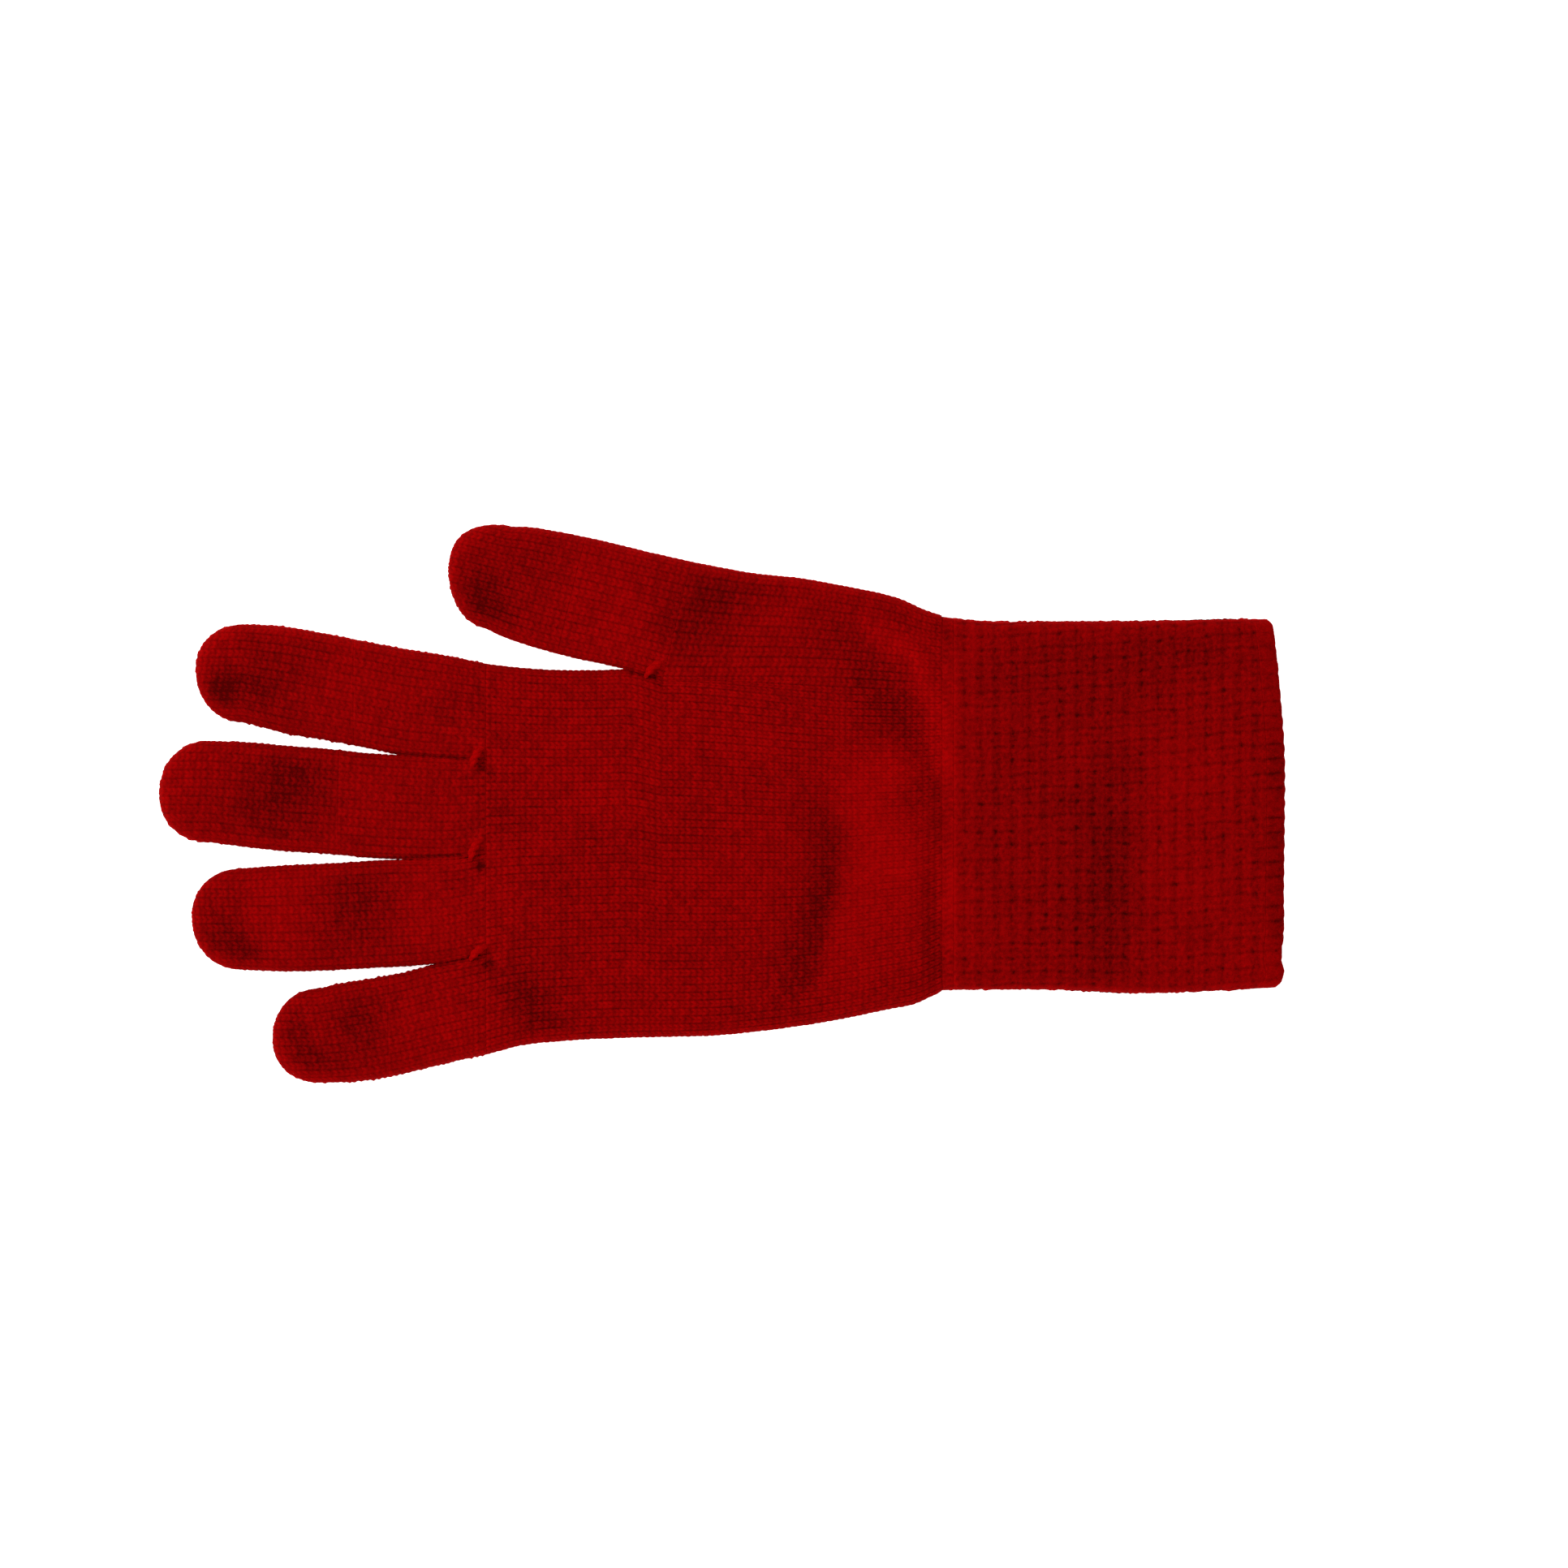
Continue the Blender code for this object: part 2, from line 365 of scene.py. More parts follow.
# Soft hollows and swellings of the upper face, with painted shade in the hollows and painted highlight on
# the swellings:
# (x, y, half length, half width, turn in degrees, height, painted shade: how much darker, negative for a
# painted highlight).
# The two entries with no height are painted shade alone along the welt's rolled edge.
SWELLS = (
    (-2.9, 45.2, 8.6, 5.6, 50, -0.9, 0.60),
    (-55.8, 48.5, 4.2, 4.6, 0, -1.0, 0.66),
    (-52.0, 43.4, 5.0, 2.8, -15, -0.4, 0.40),
    (-43.0, 55.5, 7.0, 3.5, 10, -0.2, 0.20),
    (-27.0, 47.0, 6.0, 9.0, 15, 0.3, -0.28),
    (-115.4, 26.4, 3.2, 3.2, 0, -1.0, 0.85),
    (-108.0, 25.5, 6.5, 4.0, 8, -0.5, 0.42),
    (-107.0, 34.0, 2.0, 7.0, 5, -0.3, 0.18),
    (-98.0, 34.5, 6.0, 7.0, 8, -0.1, 0.24),
    (-86.0, 28.0, 7.0, 7.0, 0, 0.2, -0.15),
    (-99.2, 4.0, 7.2, 6.4, 34, -0.95, 0.72),
    (-104.0, -7.0, 8.0, 2.6, 0, -0.1, 0.20),
    (-110.5, -2.4, 6.5, 3.4, 25, -0.3, 0.24),
    (-82.8, -25.2, 6.8, 7.6, 0, -0.8, 0.58),
    (-112.4, -32.0, 5.2, 3.2, -38, -1.0, 0.72),
    (-113.5, -21.8, 5.5, 4.6, 0, -0.2, 0.22),
    (-100.2, -26.0, 5.0, 8.0, 0, 0.3, -0.30),
    (-67.0, -26.5, 9.0, 6.0, 0, 0.2, -0.18),
    (-82.4, -51.5, 4.6, 6.5, 0, -0.7, 0.52),
    (-93.6, -58.3, 5.0, 2.8, -35, -0.8, 0.60),
    (-98.5, -50.0, 2.2, 4.4, 0, -0.3, 0.20),
    (-68.0, -51.5, 7.0, 5.0, 0, 0.3, -0.15),
    (-42.2, -47.8, 7.6, 4.2, -62, -0.9, 0.58),
    (-52.0, 8.0, 6.0, 13.0, 0, -0.2, 0.14),
    (-16.7, -17.7, 6.0, 7.0, 0, -0.2, 0.10),
    (22.0, 34.0, 8.0, 8.0, -40, -0.3, 0.08),
    (40.0, 24.2, 7.0, 5.4, -58, -0.8, 0.41),
    (22.5, 0.0, 3.5, 7.0, 0, -0.3, 0.22),
    (12.0, 20.0, 12.0, 14.0, 0, 0.2, -0.10),
    (31.5, -1.5, 5.0, 6.0, 35, 0.8, -0.38),
    (39.6, 7.2, 7.0, 4.0, 20, 0.7, -0.38),
    (41.5, -15.5, 6.0, 12.0, 10, 0.9, -0.30),
    (33.0, -26.0, 7.0, 11.0, -15, 0.7, -0.24),
    (27.0, -40.0, 8.0, 8.0, -20, 0.3, -0.16),
    (14.0, -43.0, 7.0, 8.0, -30, -0.3, 0.10),
    (46.5, 2.2, 5.0, 3.0, 0, -0.3, 0.30),
    (67.7, 14.0, 8.0, 8.0, 0, -0.2, 0.18),
    (82.7, 29.5, 16.0, 7.0, 0, -0.3, 0.24),
    (110.9, 35.5, 18.0, 5.0, 0, -0.1, 0.20),
    (79.0, -14.0, 10.0, 22.0, 0, -0.2, 0.16),
    (103.4, 7.6, 8.0, 7.0, 0, 0.3, -0.22),
    (108.0, -20.0, 9.0, 18.0, 0, 0.1, -0.08),
    (128.3, 7.6, 2.5, 15.0, 0, 0.0, 0.42),
    (57.0, -2.0, 2.6, 40.0, 0, 0.2, -0.18),
    (48.6, -18.6, 2.2, 4.0, 0, -0.3, 0.27),
    (49.2, -28.5, 2.2, 4.0, 8, -0.35, 0.32),
    (50.2, -36.8, 2.0, 3.6, 0, -0.35, 0.30),
    (51.4, -5.6, 2.0, 3.4, 0, -0.25, 0.26),
    (53.0, 39.6, 2.4, 2.6, 0, -0.25, 0.26),
    (52.5, -24.0, 1.6, 2.2, 0, 0.25, -0.24),
    (129.2, -27.0, 2.0, 10.0, 0, 0.0, 0.42),
    (97.5, 13.5, 5.0, 6.0, 0, -0.1, 0.17),
)
# Long creases and folds: (points, half width left of the run, half width right of it, height, painted shade
# in the crease, negative for a painted highlight on a ridge).
CREASES = (
    (((26.6, -7.5), (26.2, -12.2), (24.2, -22.4), (21.4, -33.7), (19.4, -41.0)),
     1.8, 4.4, -1.0, 0.82),
    (((22.7, 44.2), (30.2, 37.6), (38.6, 26.4), (43.3, 17.9)), 2.4, 4.2, -0.8, 0.16),
    (((41.0, 20.5), (43.3, 16.5), (48.0, 8.5), (51.6, -1.8)), 2.0, 2.4, -0.8, 0.25),
    (((34.9, 42.3), (45.2, 32.9), (50.0, 20.7), (51.8, 7.6)), 2.2, 2.2, 0.7, -0.52),
    (((4.3, 53.0), (-1.7, 46.1), (-7.3, 37.6), (-14.8, 29.6)), 2.4, 2.6, -0.5, 0.02),
    (((49.2, -13.0), (48.4, -24.0), (49.6, -39.3)), 1.6, 1.6, -0.4, 0.14),
    (((52.6, 32.0), (52.8, -40.5)), 1.3, 1.3, 0.25, -0.26),
    (((-46.7, -18.7), (-26.0, -26.0), (-5.4, -37.4)), 3.2, 3.2, -0.15, 0.07),
    (((92.1, 7.6), (90.6, -20.5), (88.7, -38.4)), 4.0, 6.0, -0.6, 0.46),
)
# The ends of the slits between digits: where each is, where its two touching sides part, its pit,
# and the two ends of the little drawn-up ridge beside the pit.
SLITS = {
    "index_middle": ((KNUCKLE_X, 10.3), (-77.0, 11.9), (-0.8, -1.6), (-3.6, -2.0), (-0.8, 3.2)),
    "middle_ring": ((KNUCKLE_X, -11.5), (-84.0, -12.8), (-1.2, -2.6), (-4.0, -1.6), (-1.2, 3.8)),
    "ring_little": ((KNUCKLE_X, -34.6), (-66.5, -37.3), (0.4, -2.1), (-4.0, -1.2), (0.4, 2.4)),
    "thumb": ((CROTCH[0], CROTCH[1]), (-21.0, 30.5), (-0.6, -0.4), (-4.4, 0.6), (0.6, 4.8)),
}
SLIT_LIFT = 1.3


def along_line(x, y, points):
    """Signed distance to a run of points (left of the run positive) and the place along it, 0..1."""
    best = np.full(x.shape, 1e9)
    side, place = np.zeros(x.shape), np.zeros(x.shape)
    p = np.array(points)
    lengths = np.hypot(*np.diff(p, axis=0).T)
    starts = np.concatenate([[0], np.cumsum(lengths)])
    for k, ((ax, ay), (bx, by)) in enumerate(zip(p[:-1], p[1:])):
        dx, dy = bx - ax, by - ay
        t = np.clip(((x - ax) * dx + (y - ay) * dy) / lengths[k] ** 2, 0, 1)
        d = np.hypot(x - ax - t * dx, y - ay - t * dy)
        near = d < best
        best = np.where(near, d, best)
        side = np.where(near, np.sign(dx * (y - ay) - dy * (x - ax)), side)
        place = np.where(near, (starts[k] + t * lengths[k]) / starts[-1], place)
    return best * np.where(side == 0, 1, side), place


def lie(x, y):
    """How the upper face departs from an even pillow (mm), and its painted shade: darker in hollows,
    creases and slit pits, painted highlight on swells and ridges, plus random mottle.
    """
    rise, shade_mottle = np.zeros(x.shape), np.zeros(x.shape)
    for cx, cy, a, b, turn, height, painted_shade in SWELLS:
        r = math.radians(turn)
        dx, dy = x - cx, y - cy
        u = (dx * math.cos(r) + dy * math.sin(r)) / a
        v = (-dx * math.sin(r) + dy * math.cos(r)) / b
        g = np.exp(-0.5 * (u * u + v * v))
        rise += height * g
        shade_mottle += painted_shade * g
    for points, left, right, height, painted_shade in CREASES:
        d, t = along_line(x, y, points)
        width = np.where(d > 0, left, right)
        fade = 0.35 + 0.65 * np.sin(math.pi * np.clip(t, 0.06, 0.94)) ** 0.6
        g = np.exp(-0.5 * (d / width) ** 2) * fade
        rise += height * g
        shade_mottle += painted_shade * g
    # Each slit end: painted shadow in its pit and painted highlight on the ridge beside it.
    for at, _, pit, low, high in SLITS.values():
        dx, dy = x - at[0] - pit[0], y - at[1] - pit[1]
        g = np.exp(-0.5 * ((dx / 0.75) ** 2 + (dy / 0.85) ** 2))
        rise -= 1.2 * g
        shade_mottle += 1.7 * g
        d, t = along_line(x, y, ((at[0] + low[0], at[1] + low[1]), (at[0] + high[0], at[1] + high[1])))
        g = np.exp(-0.5 * (d / 0.9) ** 2)
        rise += 0.9 * g
        shade_mottle -= 0.5 * g
    rise += 0.30 * (mottle(x * 0.12 + 5, y * 0.12) - 0.5) + 0.22 * (mottle(x * 0.35, y * 0.35 + 9) - 0.5)
    shade_mottle += 0.20 * (mottle(x * 0.10 + 2, y * 0.14 + 7) - 0.5)
    return rise, shade_mottle


def slit_lift(x, y):
    """Where two digits lie side to side their rims are held up; the hold fades out as they part.

    Also gives the painted shadow along the closed slit, from its end at the ridge to where the digits part.
    """
    lift, slit_shade = np.zeros(x.shape), np.zeros(x.shape)
    for at, part, *_ in SLITS.values():
        d, t = along_line(x, y, (at, part))
        lift = np.maximum(lift, SLIT_LIFT * (1 - t) ** 0.7 * ease(2 - np.abs(d) / 2.5))
        slit_shade = np.maximum(slit_shade, ease((t - 0.14) / 0.08) * (1 - ease(np.abs(d) / 0.8)))
    return lift, slit_shade


# ---------------------------------------------------------------- meshes


def surface(x, y, height, sign):
    return np.stack([x, y, MID + sign * height], 2)


def unit_normals(p, sign):
    n = np.cross(np.gradient(p, axis=0), np.gradient(p, axis=1))
    n /= np.maximum(np.linalg.norm(n, axis=2, keepdims=True), 1e-9)
    return -n if np.mean(n[:, :, 2]) * sign < 0 else n


def build_tube(name, sheets, fields, valid, is_open, step, lip):
    """One closed mesh from four grids that share one index plan.

    sheets: outer upper, outer lower (every second point), inner upper and inner lower (every step).
    valid: mask of cells. is_open(i0, j0, i1, j1) says whether a boundary edge lies on an open end.
    """
    top, low, inner_top, inner_low = sheets
    rows, cols = valid.shape
    padded = np.pad(valid, 1)
    around = (padded[:-1, :-1], padded[1:, :-1], padded[:-1, 1:], padded[1:, 1:])
    used = around[0] | around[1] | around[2] | around[3]
    rim = used & ~(around[0] & around[1] & around[2] & around[3])

    def cell(i, j):
        return 0 <= i < rows and 0 <= j < cols and valid[i, j]

    # rim points that both faces share, along the closed sides
    shared = np.zeros_like(used)
    for i, j in zip(*np.nonzero(rim)):
        for di, dj, a, b in ((0, 1, (i - 1, j), (i, j)), (1, 0, (i, j - 1), (i, j))):
            if cell(*a) != cell(*b) and not is_open(i, j, i + di, j + dj):
                shared[i, j] = shared[i + di, j + dj] = True

    verts, values = [], {key: [] for key in fields}
    total = 0

    def add(points, stride, reuse, plain):
        nonlocal total
        ids = np.full(used.shape, -1)
        mask = np.zeros_like(used)
        mask[::stride, ::stride] = True
        keep = used & mask
        if reuse is not None:
            keep &= ~shared
            ids[shared] = reuse[shared]
        ids[keep] = total + np.arange(int(keep.sum()))
        total += int(keep.sum())
        verts.append(points[keep])
        for key, field in fields.items():
            values[key].append(np.full(int(keep.sum()), plain[key]) if plain else field[keep])
        return ids

    # The inner faces are coloured darker than the outer: painted shade inside the tube.
    lining = {"relief": 0.42, "hollow": 0.25}
    top_id = add(top, 1, None, None)
    low_id = add(low, 2, top_id, None)
    in_top = add(inner_top, step, None, lining)
    in_low = add(inner_low, step, in_top, lining)

    ii, jj = np.nonzero(valid)
    quads = (top_id[ii, jj], top_id[ii + 1, jj], top_id[ii + 1, jj + 1], top_id[ii, jj + 1])
    faces = np.stack(quads, 1).tolist()

    def sides(i, j, n):
        return (
            [(i, j + k) for k in range(n + 1)],
            [(i + k, j + n) for k in range(n + 1)],
            [(i + n, j + n - k) for k in range(n + 1)],
            [(i + n - k, j) for k in range(n + 1)],
        )

    for i, j in zip(*(2 * k for k in np.nonzero(valid[::2, ::2]))):
        poly = []
        for start, middle, _ in sides(i, j, 2):
            poly.append(low_id[start])
            if shared[middle]:
                poly.append(low_id[middle])
        faces.append(poly)
    ends = []
    for i, j in zip(*(step * k for k in np.nonzero(valid[::step, ::step]))):
        corners = ((i, j), (i, j + step), (i + step, j + step), (i + step, j))
        faces.append([in_top[c] for c in corners])
        faces.append([in_low[c] for c in corners[::-1]])
        for side in sides(i, j, step):
            a, b = side[0], side[-1]
            if a[0] == b[0]:
                border = cell(a[0] - 1, min(a[1], b[1])) != cell(a[0], min(a[1], b[1]))
            else:
                border = cell(min(a[0], b[0]), a[1] - 1) != cell(min(a[0], b[0]), a[1])
            if border and is_open(*a, *b):
                ends.append([top_id[p] for p in side] + [in_top[b], in_top[a]])
                ends.append([low_id[p] for p in side[::-1] if low_id[p] >= 0] + [in_low[a], in_low[b]])

    clean, flat = [], []
    for k, face in enumerate(faces + ends):
        face = [int(v) for n, v in enumerate(face) if v != face[n - 1]]
        if len(set(face)) == len(face) > 2:
            clean.append(face)
            flat.append(k >= len(faces) and not lip)
    mesh = bpy.data.meshes.new(name)
    mesh.from_pydata((np.concatenate(verts) * MM).tolist(), [], clean)
    for key, parts in values.items():
        layer = mesh.attributes.new(key, "FLOAT", "POINT")
        layer.data.foreach_set("value", np.concatenate(parts).astype(np.float32))
    mesh.polygons.foreach_set("use_smooth", [not f for f in flat])
    body = bmesh.new()
    body.from_mesh(mesh)
    bmesh.ops.recalc_face_normals(body, faces=body.faces)
    body.to_mesh(mesh)
    body.free()
    piece = bpy.data.objects.new(name, mesh)
    bpy.context.scene.collection.objects.link(piece)
    return piece


def make_tube(name, plan, lines, rim, knit, pattern, amount, is_open, valid=None, step=4, lip=False):
    """A fabric tube: knitted outer faces and plain inner faces, from one plan grid.

    plan(inset) gives the grid's x and y, drawn in from the closed sides by an inset.
    """
    x, y = plan(0.0)
    inner_x, inner_y = plan(WALL)
    depth = distance(x, y, lines)
    inner_depth = np.maximum(distance(inner_x, inner_y, lines) - WALL, 0.02)
    held, slit_shade = slit_lift(x, y)
    depth = np.where(rim, 0, np.hypot(depth, held))
    inner_depth[rim] = 0
    height = 0.55 + (pattern(*knit) - 0.55) * crispness(x, y)
    rise, shade_mottle = lie(x, y)
    flat = ease(depth / 4.0)
    base = surface(x, y, rim_height(depth) * TOP_HALF, 1)
    base[:, :, 2] += rise * flat
    base_low = surface(x, y, rim_height(depth) * LOW_HALF, -1)
    count = np.arange(x.shape[0])[:, None]
    from_end = np.minimum(count, count[::-1])
    amount = amount * (0.15 + 0.85 * ease(from_end / 3.0))
    top = base + unit_normals(base, 1) * ((height - 0.55) * amount)[:, :, None]
    low = base_low + unit_normals(base_low, -1) * ((height - 0.75) * amount * 0.8)[:, :, None]
    out = np.stack([x - inner_x, y - inner_y], 2)
    out /= np.maximum(np.linalg.norm(out, axis=2, keepdims=True), 1e-9)
    loose = 1.3 * height - 0.6 + 1.6 * (mottle(knit[0] * 1.7, knit[1] * 1.3) - 0.5)
    rough = RAGGED * loose * (held < 0.05) * rim
    rough += 0.15 * (held >= 0.05) * rim
    top[:, :, :2] += out * rough[:, :, None]
    if lip:
        end = x[-1]
        drop = np.clip(end[None, :] - x, 0, WALL / 2)
        drop = WALL / 2 - np.sqrt(np.maximum((WALL / 2) ** 2 - (WALL / 2 - drop) ** 2, 0))
        drop *= np.clip(depth / 2.0, 0, 1)
        top[:, :, 2] -= drop
        low[:, :, 2] += drop
    inner = np.where(rim, 0, rim_height(inner_depth) * (TOP_HALF - WALL))
    inner_top = surface(inner_x, inner_y, inner, 1)
    inner_low = surface(inner_x, inner_y, inner, -1)
    inner_top[:, :, 2] += np.minimum(rise, 0) * flat * 0.7 * (inner > 1.5)
    if lip:
        inner_top[-1, :, 2] += WALL * 0.45 * (inner[-1] > 1)
        inner_low[-1, :, 2] -= WALL * 0.45 * (inner[-1] > 1)
    if valid is None:
        valid = np.ones((x.shape[0] - 1, x.shape[1] - 1), bool)
    # Painted light along each open end, lifting the shadow in the seam where pieces meet.
    painted_end_light = 0.14 * (1 - ease(from_end / 2.0))
    # Colour fields: relief, and the painted shade of swells, creases and slit pits with random mottle,
    # painted highlight along the rims, painted shadow in the closed slits.
    fields = {
        "relief": height + painted_end_light,
        "hollow": shade_mottle * flat - 0.30 * (1 - ease(depth / 3.5)) + slit_shade,
    }
    return build_tube(name, (top, low, inner_top, inner_low), fields, valid, is_open, step, lip)


def open_rows(*rows):
    return lambda i0, j0, i1, j1: i0 == i1 and i0 in rows


# ---------------------------------------------------------------- hand

HAND_ROWS = COURSES * PER_COURSE
THUMB_ROW = THUMB_COURSE * PER_COURSE
THUMB_COLUMN = WALES_FINGERS * PER_WALE
HAND_COLUMNS = (WALES_FINGERS + WALES_THUMB) * PER_WALE


def hand_plan(inset):
    """Rows step from the wrist to the knuckles, columns from the low side to the thumb side."""
    i = np.arange(HAND_ROWS + 1)
    before, after = i[: THUMB_ROW + 1] / THUMB_ROW, (i[THUMB_ROW:] - THUMB_ROW) / (HAND_ROWS - THUMB_ROW)
    rows_x = np.concatenate([
        SEAM_X + (CROTCH[0] - SEAM_X) * before,
        CROTCH[0] + (KNUCKLE_X - CROTCH[0]) * after[1:],
    ])
    low = smooth(rows_x, *np.array(HAND_LOW).T)
    wrist_top = smooth(rows_x[:1], *np.array(HAND_TOP).T)[0]
    wrist_split = low[0] + (wrist_top - low[0]) * WALES_FINGERS / (WALES_FINGERS + WALES_THUMB)
    g = np.clip(i / THUMB_ROW, 0, 1)
    split = wrist_split + (CROTCH[1] - wrist_split) * (0.25 * g + 0.75 * ease(g))
    line = np.where(i <= THUMB_ROW, split, smooth(rows_x, *np.array(HAND_FREE).T))
    rimmed = ease((i - (THUMB_ROW - 130)) / 130.0)
    drawn = inset * (rimmed > 0.9)
    x = np.repeat(rows_x[:, None], HAND_COLUMNS + 1, 1)
    y = np.zeros_like(x)
    t = np.arange(THUMB_COLUMN + 1) / THUMB_COLUMN
    tb = np.arange(HAND_COLUMNS - THUMB_COLUMN + 1) / (HAND_COLUMNS - THUMB_COLUMN)
    for r in range(HAND_ROWS + 1):
        width = line[r] - low[r] - inset - drawn[r]
        y[r, : THUMB_COLUMN + 1] = low[r] + inset + across(t, width, 1.0, rimmed[r])
        if r > THUMB_ROW:
            y[r, THUMB_COLUMN:] = y[r, THUMB_COLUMN]
            continue
        top_x = SEAM_X + (THUMB_TOP[0] - SEAM_X) * (r / THUMB_ROW) ** 1.06
        start = np.array((rows_x[r], line[r]))
        end = np.array((top_x, smooth(np.array([top_x]), *np.array(HAND_TOP).T)[0]))
        width = np.linalg.norm(end - start)
        run = (end - start) / width
        offset = across(tb, width - inset, rimmed[r], 1.0)
        x[r, THUMB_COLUMN:] = start[0] + run[0] * offset
        y[r, THUMB_COLUMN:] = start[1] + run[1] * offset
    return x, y


def hand_piece():
    rim = np.zeros((HAND_ROWS + 1, HAND_COLUMNS + 1), bool)
    rim[:, 0] = True
    rim[THUMB_ROW:, THUMB_COLUMN:] = True
    rim[THUMB_ROW, THUMB_COLUMN + 1 : HAND_COLUMNS] = False
    rim[: THUMB_ROW + 1, HAND_COLUMNS] = True
    wales = np.broadcast_to(np.arange(HAND_COLUMNS + 1) / PER_WALE, rim.shape)
    courses = np.broadcast_to(np.arange(HAND_ROWS + 1)[:, None] / PER_COURSE, rim.shape)
    valid = np.zeros((HAND_ROWS, HAND_COLUMNS), bool)
    valid[:, :THUMB_COLUMN] = True
    valid[:THUMB_ROW, THUMB_COLUMN:] = True
    ends = [(at,) for at, *_ in SLITS.values()]

    def is_open(i0, j0, i1, j1):
        return i0 == i1 and (i0 in (0, HAND_ROWS) or (i0 == THUMB_ROW and min(j0, j1) >= THUMB_COLUMN))

    lines = [curve(HAND_LOW), curve(HAND_TOP), curve(HAND_FREE), *ends]
    return make_tube("hand", hand_plan, lines, rim, (wales, courses), stockinette, STITCH, is_open, valid)


# ---------------------------------------------------------------- digits


# Roundness of a fingertip's outline; 2 is an ellipse.
TIP_POWER = 2.15


def digit_shape(name):
    """A digit in its own frame: origin, directions, stations, the tip's reach and its tilt."""
    if name == "thumb":
        stations, (reach, tilt) = THUMB, THUMB_TIP
        stations = np.array(stations)
        origin, along, up = THUMB_ROOT, THUMB_ALONG, THUMB_UP
        s = stations[:, 0]
    else:
        stations, reach, tilt = FINGERS[name]
        stations = np.array(stations)
        origin, along, up = np.array((KNUCKLE_X, 0.0)), np.array((-1.0, 0.0)), np.array((0.0, 1.0))
        s = KNUCKLE_X - stations[:, 0]
    return origin, along, up, s, stations[:, 1], stations[:, 2], reach, tilt


def tip_reach(shape, q, inset=0.0):
    """How far the round end reaches beyond the last station at lateral position q."""
    _, _, _, _, high, low, reach, tilt = shape
    half, middle = (high[-1] - low[-1]) / 2 - inset, (high[-1] + low[-1]) / 2
    v = np.clip((q - middle) / half, -1, 1)
    dome = (reach - inset) * (1 - np.abs(v) ** TIP_POWER) ** (1 / TIP_POWER)
    return dome + (q - middle) * tilt * (1 - np.abs(v) ** 3)


def place(shape, along, lateral):
    origin, forward, up = shape[:3]
    return (
        origin[0] + along * forward[0] + lateral * up[0],
        origin[1] + along * forward[1] + lateral * up[1],
    )


def digit_outline(shape):
    _, _, _, s, high, low, _, _ = shape
    run = np.linspace(0, s[-1], 60)
    half, middle = (high[-1] - low[-1]) / 2, (high[-1] + low[-1]) / 2
    q = middle + half * np.sin(np.linspace(-math.pi / 2, math.pi / 2, 60)[1:-1])
    along = np.concatenate([run, s[-1] + tip_reach(shape, q), run[::-1]])
    lateral = np.concatenate([smooth(run, s, low), q, smooth(run, s, high)[::-1]])
    return np.stack(place(shape, along, lateral), 1)


def digit_grid(shape, start, stop, rows, columns, inset):
    """Along and across positions of one part of a digit; with no stop it ends on the round tip."""
    _, _, _, s, high, low, _, _ = shape
    t = np.arange(columns + 1) / columns
    g = np.arange(rows + 1)[:, None] / rows
    if stop is None:
        q = low[-1] + inset + across(t, high[-1] - low[-1] - 2 * inset)
        reach = (s[-1] + tip_reach(shape, q, inset))[None, :]
        total = reach - start + (RIM_ARC - RIM)
        along = np.where(total * (1 - g) < RIM_ARC, reach - depth_at(total * (1 - g)), start + g * total)
        along = np.maximum(along, start + (reach - start) * g * 0.2)
    else:
        along = np.repeat(start + (stop - start) * g, columns + 1, 1)
    near = np.minimum(along, s[-1])
    low_side, high_side = smooth(near, s, low) + inset, smooth(near, s, high) - inset
    return along, low_side + across(np.broadcast_to(t, near.shape), high_side - low_side)


def digit_piece(name, part):
    shape = digit_shape(name)
    _, forward, _, s, high, low, reach, _ = shape
    fold = float((hinge(name + "_middle_fold") - hinge(name + "_knuckle")) @ forward)
    closed = part == "tip"
    start, stop = (fold, None) if closed else (0.0, fold)
    wales = int(round((float(np.mean(high - low)) + 2 * (RIM_ARC - RIM)) / WALE / 2)) * 2
    length = s[-1] + reach + 2 - fold if closed else fold
    rows, columns = int(round(length / COURSE)) * PER_COURSE, wales * PER_WALE
    along, lateral = digit_grid(shape, start, stop, rows, columns, 0.0)
    rim = np.zeros(along.shape, bool)
    rim[:, 0] = rim[:, -1] = True
    rim[-1, :] |= closed
    t = np.broadcast_to(np.arange(columns + 1) / columns, along.shape)
    if name == "thumb":
        knit = (WALES_FINGERS + WALES_THUMB / 2 + (t - 0.5) * wales, THUMB_COURSE + along / COURSE)
    else:
        middle = (high[0] + low[0]) / 2
        wale = (middle - HAND_LOW[-1][1]) / (HAND_FREE[-1][1] - HAND_LOW[-1][1]) * WALES_FINGERS
        lean = (high[-1] + low[-1] - high[0] - low[0]) / 2 / s[-1]
        shear = lean * (lateral - lateral[:, columns // 2][:, None]) * ease(along / 12.0)
        knit = (wale + (t - 0.5) * wales, COURSES + (along + shear) / COURSE)

    def plan(inset):
        return place(shape, *digit_grid(shape, start, stop, rows, columns, inset))

    ends = open_rows(0) if closed else open_rows(0, rows)
    return make_tube(f"{name}_{part}", plan, [digit_outline(shape)], rim, knit, stockinette, STITCH, ends)


# ---------------------------------------------------------------- cuff


